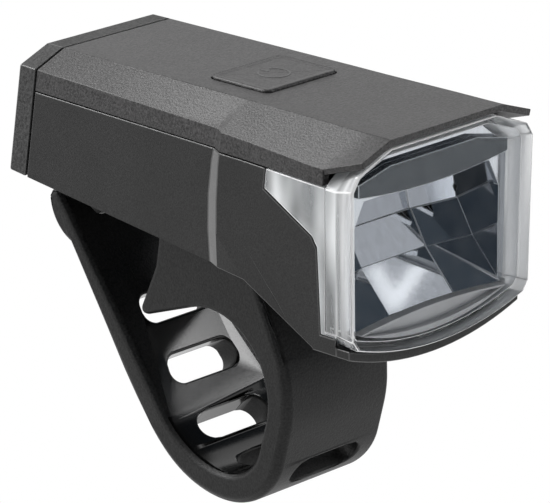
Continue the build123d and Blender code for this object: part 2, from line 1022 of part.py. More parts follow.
# Light source: board, emitter and heat sink over the reflector's roof
led_board_start = flange_station + flange_thickness + part_clearance
led_board_range = (led_board_start, led_board_start + led_board_length)
led_board_top = reflector_roof_drop - led_board_thickness
led_board = block(
    (-led_board_width / 2, led_board_width / 2),
    led_board_range,
    (led_board_top, reflector_roof_drop),
)
led_emitter = block(
    (-led_size / 2, led_size / 2),
    (led_station - led_size / 2, led_station + led_size / 2),
    (reflector_roof_drop, reflector_roof_drop + led_height),
)
dome_low = reflector_roof_drop + led_height + led_dome_radius
dome = upright(0, led_station, led_dome_radius, (reflector_roof_drop + led_height / 2, dome_low))
dome_tip = dome.faces().sort_by(Axis.Z)[0]
led_emitter += chamfer(dome_tip.edges(), led_dome_radius / 2)
sink_start = led_board_range[0]
heat_sink = block(
    (-heat_sink_width / 2, heat_sink_width / 2),
    (sink_start, sink_start + heat_sink_length),
    (led_board_top - heat_sink_base, led_board_top),
)
fin_pitch = (heat_sink_width - fin_thickness) / (fin_count - 1)
for index in range(fin_count):
    fin_left = -heat_sink_width / 2 + index * fin_pitch
    heat_sink += block(
        (fin_left, fin_left + fin_thickness),
        (sink_start, sink_start + heat_sink_length),
        (led_board_top - heat_sink_base - fin_height, led_board_top - heat_sink_base),
    )

# Main board and the parts on it
main_board = block(
    (-board_half, board_half),
    (board_start, board_end),
    (board_drop, board_drop + board_thickness),
)
board_screws = []
for x, station in board_screw_places:
    main_board -= upright(
        x,
        station,
        board_screw_radius + screw_clearance,
        (board_drop - cut_overrun, board_drop + cut_overrun),
    )
    board_low = board_drop + board_thickness
    screw = upright(x, station, board_screw_head_radius, (board_low, board_low + board_screw_head))
    screw += upright(x, station, board_screw_radius, (casing_wall + board_screw_head, board_low))
    board_screws.append(screw)

switch_top = board_drop - switch_height
tact_switch = block(
    (-switch_side / 2, switch_side / 2),
    (button_station - switch_side / 2, button_station + switch_side / 2),
    (switch_top, board_drop),
)
plunger_top = switch_top - plunger_height
plunger_low = switch_top + plunger_depth
tact_switch -= upright(
    0,
    button_station,
    plunger_radius + plunger_clearance,
    (plunger_top, plunger_low + button_travel + plunger_clearance),
)
switch_plunger = upright(0, button_station, plunger_radius, (plunger_top, plunger_low))

driver_chip = block(
    (-chip_length / 2 - coil_offset, chip_length / 2 - coil_offset),
    (chip_station - chip_width / 2, chip_station + chip_width / 2),
    (board_drop - chip_height, board_drop),
)
power_coil = upright(coil_offset, coil_station, coil_radius, (board_drop - coil_height, board_drop))
battery_plug = block(
    (-plug_width / 2, plug_width / 2),
    (plug_station - plug_length / 2, plug_station + plug_length / 2),
    (board_drop + board_thickness, board_drop + board_thickness + plug_height),
)

socket_low = port_drop + socket_height / 2
charge_socket = block(
    (-socket_width / 2, socket_width / 2),
    (socket_reach - socket_length, socket_reach),
    (port_drop - socket_height / 2, socket_low),
)
socket_edges = charge_socket.edges().filter_by(Axis.Y)
charge_socket = fillet(socket_edges, socket_height / 2 - socket_wall)
socket_inside = block(
    (-socket_width / 2 + socket_wall, socket_width / 2 - socket_wall),
    (socket_reach - socket_length + socket_wall, socket_reach + cut_overrun),
    (port_drop - socket_height / 2 + socket_wall, socket_low - socket_wall),
)
socket_inside = fillet(socket_inside.edges().filter_by(Axis.Y), socket_wall * 2)
charge_socket -= socket_inside
charge_socket += block(
    (-socket_width / 2 + 3 * socket_wall, socket_width / 2 - 3 * socket_wall),
    (socket_reach - socket_length + socket_wall / 2, socket_reach - 2 * socket_wall),
    (port_drop - socket_tongue / 2, port_drop + socket_tongue / 2),
)

# Battery pack in its tray, laid along the sloping floor
battery_middle = (battery_front + battery_length / 2) - visor_reach
tray_level = casing_wall + tray_floor_gap
battery_tray = under_floor(
    (-battery_width / 2 - tray_wall, battery_width / 2 + tray_wall),
    (
        battery_middle - battery_length / 2 - tray_wall,
        battery_middle + battery_length / 2 + tray_wall,
    ),
    (tray_level, tray_level + tray_wall + tray_side_height),
)
battery_tray -= under_floor(
    (-battery_width / 2, battery_width / 2),
    (battery_middle - battery_length / 2, battery_middle + battery_length / 2),
    (tray_level + tray_wall, tray_level + tray_wall + tray_side_height + cut_overrun),
)
battery_pack = under_floor(
    (-battery_width / 2 + battery_clearance, battery_width / 2 - battery_clearance),
    (
        battery_middle - battery_length / 2 + battery_clearance,
        battery_middle + battery_length / 2 - battery_clearance,
    ),
    (tray_level + tray_wall, tray_level + tray_wall + battery_height),
)
battery_pack = fillet(battery_pack.edges().filter_by(Axis.X), battery_round)

# Power button: a soft pad with a lip inside and a stem to the switch
button_pad = block(
    (-button_width / 2 + button_gap, button_width / 2 - button_gap),
    (
        button_station - button_length / 2 + button_gap,
        button_station + button_length / 2 - button_gap,
    ),
    (-button_rise, casing_wall + part_clearance),
)
button_pad = fillet(button_pad.edges().filter_by(Axis.Z), button_corner)
pad_top = button_pad.faces().sort_by(Axis.Z)[-1]
button_pad = chamfer(pad_top.edges(), button_rise / 2)
button_pad += block(
    (-button_width / 2 - button_lip, button_width / 2 + button_lip),
    (
        button_station - button_length / 2 - button_lip,
        button_station + button_length / 2 + button_lip,
    ),
    (casing_wall + part_clearance, casing_wall + part_clearance + button_lip_thickness),
)
power_button = button_pad + upright(
    0,
    button_station,
    button_stem_radius,
    (casing_wall + part_clearance, plunger_top),
)
# Flap over the charging socket, on a pin along its lower edge
usb_flap = block(
    (-flap_width / 2, flap_width / 2),
    (flap_front, flap_back),
    (flap_top_drop, hinge_drop),
)
usb_flap += (
    Pos(0, back(hinge_station), down(hinge_drop))
    * Rot(0, 90, 0)
    * Cylinder(flap_barrel_radius, flap_width)
)
plug_half = port_half - flap_plug_clearance
plug_half_height = port_half_height - flap_plug_clearance
usb_flap += block(
    (-plug_half, plug_half),
    (flap_front - flap_plug_depth, flap_front),
    (port_drop - plug_half_height, port_drop + plug_half_height),
)
usb_flap -= (
    Pos(0, back(hinge_station), down(hinge_drop))
    * Rot(0, 90, 0)
    * Cylinder(flap_pin_radius + flap_pin_clearance, flap_width + cut_overrun)
)
flap_pin = (
    Pos(0, back(hinge_station), down(hinge_drop))
    * Rot(0, 90, 0)
    * Cylinder(flap_pin_radius, 2 * pin_half)
)

# Screws that close the casing, seen from below
case_screws = []
for x, station in post_places:
    level = seam_drop(station) + case_screw_grip / 2 + seam_gap
    head_drop = level + case_screw_length - case_screw_grip
    screw = upright(x, station, case_screw_head_radius, (head_drop, head_drop + case_screw_head))
    screw += upright(x, station, case_screw_radius, (head_drop - case_screw_length, head_drop))
    screw -= upright(
        x,
        station,
        socket_key_radius,
        (head_drop + case_screw_head - socket_key_depth, head_drop + case_screw_head + cut_overrun),
        key_side_count,
    )
    case_screws.append(screw)

cap_screws = []
for x in cap_screw_places:
    head_end = body_length
    head_start = head_end - case_screw_head
    screw = lengthwise(x, cap_screw_drop, case_screw_head_radius, (head_start, head_end))
    screw += lengthwise(
        x,
        cap_screw_drop,
        case_screw_radius,
        (head_start - cap_screw_length, head_start),
    )
    screw -= lengthwise(
        x,
        cap_screw_drop,
        socket_key_radius,
        (head_end - socket_key_depth, head_end + cut_overrun),
        key_side_count,
    )
    cap_screws.append(screw)

# Mount plate: base, slide rail and rear hook
plate_low = -shoe_gap
plate_top = plate_low + plate_thickness
head_top = -slide_clearance
mount_plate = under_floor((-plate_half, plate_half), (-plate_front_reach, plate_rear), (plate_low, plate_top))
mount_plate += under_floor(
    (-rail_neck_half, rail_neck_half),
    (rail_start, rail_start + rail_length),
    (plate_top, head_top),
)
mount_plate += under_floor(
    (-rail_head_half, rail_head_half),
    (rail_start, rail_start + rail_length),
    (head_top - rail_head_thickness, head_top),
)

# Strap: the run's direction and its outward normal in side view
run = (cos(radians(strap_run_angle)), sin(radians(strap_run_angle)))
outward = (sin(radians(strap_run_angle)), -cos(radians(strap_run_angle)))


def along_run(distance, offset):
    """A side-view point along the rear run, an offset out from its inner face."""
    y = outward[0] * (bore_radius + offset) + run[0] * distance
    z = outward[1] * (bore_radius + offset) + run[1] * distance
    return (0, y, z)


def on_bore(angle, extra=0.0):
    """A side-view point on the bore, at an angle up from straight back."""
    radius = bore_radius + extra
    return (0, radius * cos(radians(angle)), radius * sin(radians(angle)))


def shifted(point, direction, distance):
    """A side-view point moved along a direction."""
    return (0, point[1] + distance * direction[0], point[2] + distance * direction[1])


def turned(centre, radius, angle):
    """A side-view point on a circle, at an angle up from straight back."""
    y = centre[1] + radius * cos(radians(angle))
    z = centre[2] + radius * sin(radians(angle))
    return (0, y, z)


# The loop's two lower bends: one under the bar and one in front of it
front_turn = 270 - bore_end_angle
drop_direction = (-sin(radians(bore_end_angle)), cos(radians(bore_end_angle)))
drop_start = on_bore(bore_end_angle)
drop_end = shifted(drop_start, drop_direction, front_drop_run)
lower_centre = turned(drop_end, lower_radius, bore_end_angle - 180)
lower_end = turned(lower_centre, lower_radius, 270)
reach_out = outward[0] * lower_end[1] + outward[1] * lower_end[2]
under_radius = (bore_radius - reach_out) / (1 - run[0])
under_centre = (0, lower_end[1], lower_end[2] + under_radius)
run_foot = turned(under_centre, under_radius, 270 + strap_run_angle)
run_start = run_foot[1] * run[0] + run_foot[2] * run[1]


def arc_about(centre, radius, start, end):
    """A side-view arc between two angles."""
    middle = turned(centre, radius, (start + end) / 2)
    return ThreePointArc(turned(centre, radius, start), middle, turned(centre, radius, end))


def strap_line(offset):
    """The loop from the bore's end to the run's foot, at an offset outwards."""
    bore_arc_end = on_bore(bore_end_angle, offset)
    drop_foot = shifted(bore_arc_end, drop_direction, front_drop_run)
    return [
        Line(bore_arc_end, drop_foot),
        arc_about(lower_centre, lower_radius + offset, bore_end_angle, 270),
        arc_about(under_centre, under_radius + offset, 270, 270 + strap_run_angle),
    ]


def on_floor(y, offset):
    """The side-view point at a Y on a plane parallel to the casing's floor."""
    level = down(floor_drop_at(visor_reach)) + floor_slope * y
    return (0, y, level + offset / cos(radians(floor_angle)))


def strap_profile(inset=0.0, rim_step=0.0):
    """The strap and its saddle in side view, as one closed face."""
    bore_top = on_bore(bore_start_angle, inset)
    foot_slope = (sin(radians(bore_start_angle)), -cos(radians(bore_start_angle)))
    foot_run = (saddle_foot_y - inset - bore_top[1]) / foot_slope[0]
    foot = shifted(bore_top, foot_slope, foot_run)
    tip = (0, foot[1] + saddle_foot_step - inset, foot[2] + saddle_foot_step / 2)
    waist = (0, saddle_waist_y - inset, saddle_waist_z)
    top_rear = on_floor(saddle_top_y - inset, -shoe_gap)
    top_front = on_floor(inset - saddle_front_reach, -shoe_gap)
    chest = (0, rim_step - saddle_chest_reach, saddle_chest_z)
    wall_top = bore_end_angle - front_wall_turn
    outer = strap_thickness - inset
    front = strap_front_thickness - rim_step
    outer_start = on_bore(wall_top, front)
    bulge = on_bore(wall_top - saddle_bulge_turn, front + saddle_bulge)
    outer_wall = arc_about((0, 0, 0), bore_radius + front, wall_top, bore_end_angle)
    end_inner = along_run(strap_end, inset)
    tab_edge = along_run(strap_end + tab_nose - inset, tab_nose + inset)
    tab_shoulder = along_run(strap_end, outer)
    tab_crown = along_run(strap_end - tab_half_length, outer + tab_bulge)
    tab_foot = along_run(strap_end - 2 * tab_half_length, outer)
    outer_run_foot = turned(under_centre, under_radius + front, 270 + strap_run_angle)
    inner_run_foot = turned(under_centre, under_radius + inset, 270 + strap_run_angle)
    edges = [
        Line(top_front, top_rear),
        Line(top_rear, waist),
        Line(waist, tip),
        Line(tip, foot),
        Line(foot, bore_top),
        arc_about((0, 0, 0), bore_radius + inset, bore_start_angle, bore_end_angle),
    ]
    edges += strap_line(inset)
    edges += [
        Line(inner_run_foot, end_inner),
        ThreePointArc(end_inner, tab_edge, tab_shoulder),
        ThreePointArc(tab_shoulder, tab_crown, tab_foot),
        Line(tab_foot, outer_run_foot),
    ]
    edges += strap_line(front)
    edges += [outer_wall, ThreePointArc(outer_start, bulge, chest), Line(chest, top_front)]
    return make_face(Curve() + edges)


def strap_place(distance):
    """The place and tilt of the strap's middle line, measured along the run."""
    middle = strap_thickness / 2
    if distance >= run_start:
        point = along_run(distance, middle)
        return (point, strap_run_angle)
    under_turn = degrees((run_start - distance) / (under_radius + middle))
    if under_turn <= strap_run_angle:
        angle = strap_run_angle - under_turn
        return (turned(under_centre, under_radius + middle, 270 + angle), angle)
    under_length = radians(strap_run_angle) * (under_radius + middle)
    lower_turn = degrees((run_start - distance - under_length) / (lower_radius + middle))
    return (turned(lower_centre, lower_radius + middle, 270 - lower_turn), -lower_turn)


def strap_slot(distance, length, height):
    """A round-ended cutter square through the strap."""
    point, angle = strap_place(distance)
    cutter = extrude(SlotOverall(length, height), amount=strap_front_thickness, both=True)
    return Pos(*point) * Rot(angle, 0, 0) * cutter


# Rubber strap and saddle, one moulding
strap_core_half = strap_width / 2 - strap_rim_width
rubber_strap = extrude(strap_profile(), amount=strap_core_half, dir=(1, 0, 0), both=True)
for side in (-1, 1):
    strap_layers = [
        Pos(side * strap_core_half, 0, 0) * strap_profile(),
        Pos(side * strap_width / 2, 0, 0) * strap_profile(strap_edge, strap_rim_step),
    ]
    rubber_strap += loft(strap_layers, ruled=True)
for index in range(slot_count):
    distance = first_slot_distance - index * slot_pitch
    rubber_strap -= strap_slot(distance, slot_length, slot_height)
rubber_strap -= strap_slot(hook_distance, hook_slot_length, hook_slot_height)

# Bosses of the mount plate, sunk in the saddle, and their screws
boss_low = plate_low - saddle_boss_length
head_level = boss_low - saddle_grip
saddle_screw_places = [side * saddle_screw_spacing / 2 for side in (-1, 1)]
saddle_screws = []


def floor_post(x, radius, z_range, sides=small_side_count):
    """A small round bar square to the sloping floor."""
    height = z_range[1] - z_range[0]
    place = Pos(x, saddle_screw_middle, sum(z_range) / 2)
    return floor_plane.location * place * small_bar(radius, height, sides)


for x in saddle_screw_places:
    mount_plate += floor_post(x, saddle_boss_radius, (boss_low, plate_low))
    screw_top = head_level + saddle_screw_length
    mount_plate -= floor_post(x, saddle_screw_radius, (boss_low, screw_top))
    rubber_strap -= floor_post(x, saddle_boss_radius, (boss_low, plate_low + cut_overrun))
    rubber_strap -= floor_post(x, saddle_screw_radius, (head_level, boss_low))
    well_radius = saddle_screw_head_radius + screw_clearance
    rubber_strap -= floor_post(x, well_radius, (head_level - bore_radius, head_level))
    screw = floor_post(x, saddle_screw_radius, (head_level, screw_top))
    screw += floor_post(x, saddle_screw_head_radius, (head_level - saddle_screw_head, head_level))
    key_top = head_level - saddle_screw_head + socket_key_depth
    key_low = head_level - saddle_screw_head - socket_key_depth
    screw -= floor_post(x, socket_key_radius, (key_low, key_top), key_side_count)
    saddle_screws.append(screw)

# Hook at the plate's rear, through the strap's last slot
hook_root = on_floor(plate_rear, -shoe_gap)
prong_low = hook_distance - hook_prong_height / 2
prong_high = hook_distance + hook_prong_height / 2
lip_inner = strap_thickness + tab_bulge + part_clearance
lip_outer = lip_inner + hook_lip
hook_outline = flat_face(
    [
        on_floor(plate_rear - hook_thickness, -shoe_gap),
        along_run(prong_low, -hook_thickness),
        along_run(prong_low, lip_outer),
        along_run(prong_high + hook_lip, lip_outer),
        along_run(prong_high + hook_lip, lip_inner),
        along_run(prong_high, lip_inner),
        along_run(prong_high, -part_clearance),
        on_floor(plate_rear, plate_thickness / 2 - shoe_gap),
        on_floor(plate_rear - hook_thickness, plate_thickness / 2 - shoe_gap),
    ]
)
hook = extrude(hook_outline, amount=hook_half, dir=(1, 0, 0), both=True)
mount_plate += hook

# Write each piece to its own file
pieces = {
    "top_cover": top_cover,
    "lower_shell": lower_shell,
    "rear_cap": rear_cap,
    "cap_seal": cap_seal,
    "cap_screws": Compound(children=cap_screws),
    "case_screws": Compound(children=case_screws),
    "front_lens": front_lens,
    "reflector": reflector,
    "reflector_shade": reflector_shade,
    "lens_sill": lens_sill,
    "led_board": led_board,
    "led_emitter": led_emitter,
    "heat_sink": heat_sink,
    "main_board": main_board,
    "board_screws": Compound(children=board_screws),
    "tact_switch": tact_switch,
    "switch_plunger": switch_plunger,
    "driver_chip": driver_chip,
    "power_coil": power_coil,
    "battery_plug": battery_plug,
    "charge_socket": charge_socket,
    "battery_pack": battery_pack,
    "battery_tray": battery_tray,
    "power_button": power_button,
    "usb_flap": usb_flap,
    "flap_pin": flap_pin,
    "mount_plate": mount_plate,
    "saddle_screws": Compound(children=saddle_screws),
    "rubber_strap": rubber_strap,
}
for name, piece in pieces.items():
    export_step(piece, f"parts/{name}.step")
    print(name, len(piece.solids()), round(piece.volume))
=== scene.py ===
import math

import bmesh
import bpy
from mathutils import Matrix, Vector
from mathutils.bvhtree import BVHTree


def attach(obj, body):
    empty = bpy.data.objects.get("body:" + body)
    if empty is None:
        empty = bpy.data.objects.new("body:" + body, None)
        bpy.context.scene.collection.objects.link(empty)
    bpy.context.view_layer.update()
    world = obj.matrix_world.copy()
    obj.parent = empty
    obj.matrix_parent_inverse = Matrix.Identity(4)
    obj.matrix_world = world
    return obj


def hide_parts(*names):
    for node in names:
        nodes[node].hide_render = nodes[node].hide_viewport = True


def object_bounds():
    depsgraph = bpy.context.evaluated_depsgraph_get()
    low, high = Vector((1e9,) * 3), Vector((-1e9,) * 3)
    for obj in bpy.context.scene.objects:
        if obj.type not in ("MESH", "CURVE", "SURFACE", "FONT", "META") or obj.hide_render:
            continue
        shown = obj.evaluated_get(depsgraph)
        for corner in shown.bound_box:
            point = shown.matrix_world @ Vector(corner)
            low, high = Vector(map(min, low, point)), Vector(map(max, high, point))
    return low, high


# The lamp's solids come in as they were packed, each already in its place
# and on its moving body. Every finish and piece below is set on them.
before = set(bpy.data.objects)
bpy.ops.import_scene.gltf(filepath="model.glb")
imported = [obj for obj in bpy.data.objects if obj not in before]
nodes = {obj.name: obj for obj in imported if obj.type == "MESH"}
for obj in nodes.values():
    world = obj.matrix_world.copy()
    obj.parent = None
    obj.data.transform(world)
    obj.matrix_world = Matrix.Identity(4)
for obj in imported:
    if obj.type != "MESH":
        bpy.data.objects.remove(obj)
solid_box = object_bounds()
mm = 0.001

# The camera stands a long way in front of the lamp, to its near side and
# above it, with a long lens, so that the boxy casing keeps its lines nearly
# parallel.
camera_place = Vector((-603.3, -578.1, 307.4)) * mm
camera_target = Vector((-4.68, -8.79, 27.90)) * mm
camera_lens = 288.05
film_width = 36
camera_near = 0.05
lens_data = bpy.data.cameras.new("studio_camera")
lens_data.lens = camera_lens
lens_data.sensor_width = film_width
lens_data.clip_start = camera_near
camera = bpy.data.objects.new("studio_camera", lens_data)
camera.location = camera_place
camera.rotation_euler = (camera_target - camera_place).to_track_quat("-Z", "Y").to_euler()
bpy.context.scene.collection.objects.link(camera)
bpy.context.scene.camera = camera
bpy.context.scene.view_settings.view_transform = "Standard"

# Studio lamps: one broad and soft overhead to the rear, one on the near side,
# and one in front on the far side, whose shine runs along the rubber. The
# clear lens shows nothing of the last one's own shape.
overhead_place = Vector((-0.30, 0.85, 1.0))
overhead_target = Vector((0, 0, 0.04))
overhead_size = 0.6
overhead_power = 14.0
near_place = Vector((-0.35, 0.35, 0.25))
near_target = Vector((0, 0.03, 0.04))
near_size = 0.2
near_power = 0.8
far_place = Vector((0.57, -0.62, 0.53))
far_target = Vector((0, 0, 0.02))
far_size = 0.3
far_power = 3.5


def soft_lamp(name, place, target, size, power):
    """A square lamp with a soft edge, turned towards the object."""
    data = bpy.data.lights.new(name, "AREA")
    data.shape = "SQUARE"
    data.size = size
    data.energy = power
    lamp = bpy.data.objects.new(name, data)
    lamp.location = place
    lamp.rotation_euler = (target - place).to_track_quat("-Z", "Y").to_euler()
    bpy.context.scene.collection.objects.link(lamp)
    return lamp


soft_lamp("overhead_lamp", overhead_place, overhead_target, overhead_size, overhead_power)
soft_lamp("near_lamp", near_place, near_target, near_size, near_power)
far_lamp = soft_lamp("far_lamp", far_place, far_target, far_size, far_power)
far_lamp.visible_transmission = False

# White room and table: both show plain white to the eye, in gloss and through
# clear plastic, and light the lamp as a pale grey room would.
room_grey = (0.95, 0.95, 0.95, 1)
room_strength = 0.4
plain_white = (1, 1, 1, 1)
table_drop = 0.5 * mm
table_half = 2.0
table_level = solid_box[0][2] - table_drop
table_grey = (0.75, 0.75, 0.75, 1)
table_roughness = 0.9


def shown_white(tree, lit, white, surface):
    """Shows the white shader to the eye, gloss and clear plastic, and the lit one to the rest."""
    path = tree.nodes.new("ShaderNodeLightPath")
    seen = tree.nodes.new("ShaderNodeMath")
    seen.operation = "MAXIMUM"
    tree.links.new(path.outputs["Is Camera Ray"], seen.inputs[0])
    tree.links.new(path.outputs["Is Transmission Ray"], seen.inputs[1])
    either = tree.nodes.new("ShaderNodeMath")
    either.operation = "MAXIMUM"
    tree.links.new(seen.outputs[0], either.inputs[0])
    tree.links.new(path.outputs["Is Glossy Ray"], either.inputs[1])
    mix = tree.nodes.new("ShaderNodeMixShader")
    tree.links.new(either.outputs[0], mix.inputs[0])
    tree.links.new(lit.outputs[0], mix.inputs[1])
    tree.links.new(white.outputs[0], mix.inputs[2])
    tree.links.new(mix.outputs[0], surface)


def new_object(name, form):
    """An object of that form, linked to the scene."""
    mesh = bpy.data.meshes.new(name)
    form.to_mesh(mesh)
    form.free()
    made = bpy.data.objects.new(name, mesh)
    bpy.context.scene.collection.objects.link(made)
    return made


def new_finish(name):
    """A new material, with its nodes and its main shader."""
    material = bpy.data.materials.new(name)
    material.use_nodes = True
    return material, material.node_tree, material.node_tree.nodes["Principled BSDF"]


room = bpy.data.worlds.new("white_room")
room.use_nodes = True
room_tree = room.node_tree
room_light = room_tree.nodes["Background"]
room_light.inputs["Color"].default_value = room_grey
room_light.inputs["Strength"].default_value = room_strength
room_white = room_tree.nodes.new("ShaderNodeBackground")
room_white.inputs["Color"].default_value = plain_white
shown_white(room_tree, room_light, room_white, room_tree.nodes["World Output"].inputs["Surface"])
bpy.context.scene.world = room

table_form = bmesh.new()
bmesh.ops.create_grid(table_form, x_segments=1, y_segments=1, size=table_half)
bmesh.ops.translate(table_form, verts=table_form.verts, vec=(0, 0, table_level))
table = new_object("white_table", table_form)
table_paint, table_tree, table_shader = new_finish("white_table")
table_shader.inputs["Base Color"].default_value = table_grey
table_shader.inputs["Roughness"].default_value = table_roughness
table_glow = table_tree.nodes.new("ShaderNodeEmission")
table_glow.inputs["Color"].default_value = plain_white
shown_white(
    table_tree, table_shader, table_glow, table_tree.nodes["Material Output"].inputs["Surface"])
table.data.materials.append(table_paint)

# A tall dark curtain with a grey foot hangs round the front of the studio,
# behind the camera and the lamps. It shows in the mirror facets and in gloss,
# and neither the eye nor the light meets it.
curtain_reach = 0.9
curtain_height = 1.45
curtain_start = math.radians(-75)
curtain_end = math.radians(110)
curtain_steps = 24
curtain_foot_top = 0.12
curtain_dark_from = 0.2
curtain_grey = (0.48, 0.49, 0.51)
curtain_dark = (0.055, 0.068, 0.082)


def glowing_sheet(name, form):
    """A sheet that only gloss and clear plastic show. Returns its nodes and its glow."""
    sheet = new_object(name, form)
    paint, tree, _ = new_finish(name)
    glow = tree.nodes.new("ShaderNodeEmission")
    tree.links.new(glow.outputs[0], tree.nodes["Material Output"].inputs["Surface"])
    sheet.data.materials.append(paint)
    sheet.visible_camera = False
    sheet.visible_diffuse = False
    sheet.visible_shadow = False
    return tree, glow


def ranged(tree, value, low, high, start=0, end=1):
    """Spreads a value that runs from start to end over the range from low to high."""
    spread = tree.nodes.new("ShaderNodeMapRange")
    spread.inputs["From Min"].default_value = start
    spread.inputs["From Max"].default_value = end
    spread.inputs["To Min"].default_value = low
    spread.inputs["To Max"].default_value = high
    tree.links.new(value, spread.inputs["Value"])
    return spread.outputs["Result"]


def two_tones(tree, value, first, second, start=0, end=1):
    """Fades from the first colour to the second while the value runs from start to end."""
    fade = tree.nodes.new("ShaderNodeValToRGB")
    fade.color_ramp.elements[0].position = start
    fade.color_ramp.elements[1].position = end
    fade.color_ramp.elements[0].color = (*first, 1)
    fade.color_ramp.elements[1].color = (*second, 1)
    tree.links.new(value, fade.inputs["Fac"])
    return fade.outputs["Color"]


curtain_form = bmesh.new()
foot = curtain_form.verts.new((
    curtain_reach * math.sin(curtain_start), -curtain_reach * math.cos(curtain_start),
    table_level))
head = curtain_form.verts.new((foot.co.x, foot.co.y, table_level + curtain_height))
hem = curtain_form.edges.new((foot, head))
bmesh.ops.spin(
    curtain_form, geom=[foot, head, hem], cent=(0, 0, 0), axis=(0, 0, 1),
    angle=curtain_end - curtain_start, steps=curtain_steps)
curtain_tree, curtain_glow = glowing_sheet("dark_curtain", curtain_form)
curtain_place = curtain_tree.nodes.new("ShaderNodeTexCoord")
curtain_sides = curtain_tree.nodes.new("ShaderNodeSeparateXYZ")
curtain_tree.links.new(curtain_place.outputs["Object"], curtain_sides.inputs["Vector"])
curtain_rise = ranged(
    curtain_tree, curtain_sides.outputs["Z"], 0, 1, curtain_foot_top, curtain_dark_from)
curtain_tone = two_tones(curtain_tree, curtain_rise, curtain_grey, curtain_dark)
curtain_tree.links.new(curtain_tone, curtain_glow.inputs["Color"])

# Two grey cards hang before the curtain, and two bright slats that meet at
# the foot hang before the higher one. A low bright card stands on the near
# side, and a dark mat lies on the table. All corners are in millimetres.
card_grey = (0.53, 0.54, 0.56)
lower_card = ((611, -621, 365), (691, -531, 365), (691, -531, 480), (611, -621, 480))
higher_card = ((703, -464, 590), (761, -360, 590), (761, -360, 720), (703, -464, 720))
card_bright = (1.6, 1.6, 1.6)
near_slat = (
    (703, -409.3, 655.5), (704.3, -406.8, 649), (699.4, -415.8, 634.1), (697.9, -418.5, 640.1))
far_slat = (
    (699.4, -415.8, 634.1), (701.1, -412.7, 639.9), (708.6, -399.2, 632.4), (709.6, -397.3, 626.3))
low_card = ((-566, -643, -10), (-384, -767, -10), (-384, -767, 80), (-566, -643, 80))
mat_dark = (0.03, 0.035, 0.04)
mat_outline = ((-400, -130, -24), (-860, -260, -24), (-640, -640, -24), (-300, -300, -24))


def studio_card(name, outlines, tone):
    """A card of one or more four-sided sheets in one tone."""
    form = bmesh.new()
    for outline in outlines:
        form.faces.new([form.verts.new(Vector(corner) * mm) for corner in outline])
    _, glow = glowing_sheet(name, form)
    glow.inputs["Color"].default_value = (*tone, 1)


studio_card("grey_cards", [lower_card, higher_card], card_grey)
studio_card("bright_cards", [near_slat, far_slat, low_card], card_bright)
studio_card("dark_mat", [mat_outline], mat_dark)

# Casing: cover, shell and rear cap are moulded in black plastic from tools
# with a sand-like grain, coarser on top and rear. The slanted band behind the
# head is painted a lighter grey with a finer grain: a painted sheen for the
# light it catches. Every outer edge is eased a little, as a mould leaves it,
# and on shell and cap the eased edges are painted a lighter, glossier black:
# a painted highlight.
noise_low = 0.3
noise_high = 0.7
sand_detail = 2
cloud_scale = 90
cloud_detail = 3
gloss_spread = 0.06
bump_strength = 0.6
weld_distance = 0.003 * mm
flat_angle = math.radians(1.0)
cover_easing = 0.18 * mm
shell_easing = 0.22 * mm
cap_easing = 0.2 * mm
band_front = -12.6 * mm
band_rear = -6.8 * mm
band_half = 20.5 * mm
band_turn = 0.2


def object_noise(tree, scale, detail, stretch=(1, 1, 1), turn=0):
    """Noise fixed to the piece, which may be stretched and turned about X."""
    place = tree.nodes.new("ShaderNodeTexCoord")
    along = tree.nodes.new("ShaderNodeMapping")
    along.inputs["Scale"].default_value = stretch
    along.inputs["Rotation"].default_value = (turn, 0, 0)
    noise = tree.nodes.new("ShaderNodeTexNoise")
    noise.inputs["Scale"].default_value = scale
    noise.inputs["Detail"].default_value = detail
    tree.links.new(place.outputs["Object"], along.inputs["Vector"])
    tree.links.new(along.outputs["Vector"], noise.inputs["Vector"])
    return noise.outputs["Fac"]


def moulded(name, colour, roughness, grain, relief, specular=0.3, drift=0.12, speckle=0.12):
    """Plastic or rubber with a fine grain and slow drifts of shade and gloss."""
    material, tree, shader = new_finish(name)
    shader.inputs["Specular IOR Level"].default_value = specular
    sand = object_noise(tree, 1 / grain, sand_detail)
    cloud = object_noise(tree, cloud_scale, cloud_detail)
    slow = ranged(tree, cloud, 1 - drift, 1 + drift, noise_low, noise_high)
    fine = ranged(tree, sand, 1 - speckle, 1 + speckle, noise_low, noise_high)
    level = tree.nodes.new("ShaderNodeMath")
    level.operation = "MULTIPLY"
    tree.links.new(slow, level.inputs[0])
    tree.links.new(fine, level.inputs[1])
    tone = tree.nodes.new("ShaderNodeVectorMath")
    tone.operation = "SCALE"
    tone.inputs[0].default_value = colour
    tree.links.new(level.outputs[0], tone.inputs["Scale"])
    tree.links.new(tone.outputs["Vector"], shader.inputs["Base Color"])
    gloss = ranged(tree, sand, roughness - gloss_spread, roughness + gloss_spread)
    tree.links.new(gloss, shader.inputs["Roughness"])
    bump = tree.nodes.new("ShaderNodeBump")
    bump.inputs["Strength"].default_value = bump_strength
    bump.inputs["Distance"].default_value = relief
    tree.links.new(sand, bump.inputs["Height"])
    tree.links.new(bump.outputs["Normal"], shader.inputs["Normal"])
    return material


def solid_form(node):
    """The node's own form with its loose triangles merged into whole faces."""
    form = bmesh.new()
    form.from_mesh(nodes[node].data)
    bmesh.ops.remove_doubles(form, verts=form.verts, dist=weld_distance)
    bmesh.ops.dissolve_limit(form, angle_limit=flat_angle, verts=form.verts, edges=form.edges)
    bmesh.ops.connect_verts_concave(form, faces=form.faces)
    for face in form.faces:
        face.smooth = True
        face.material_index = 0
    return form


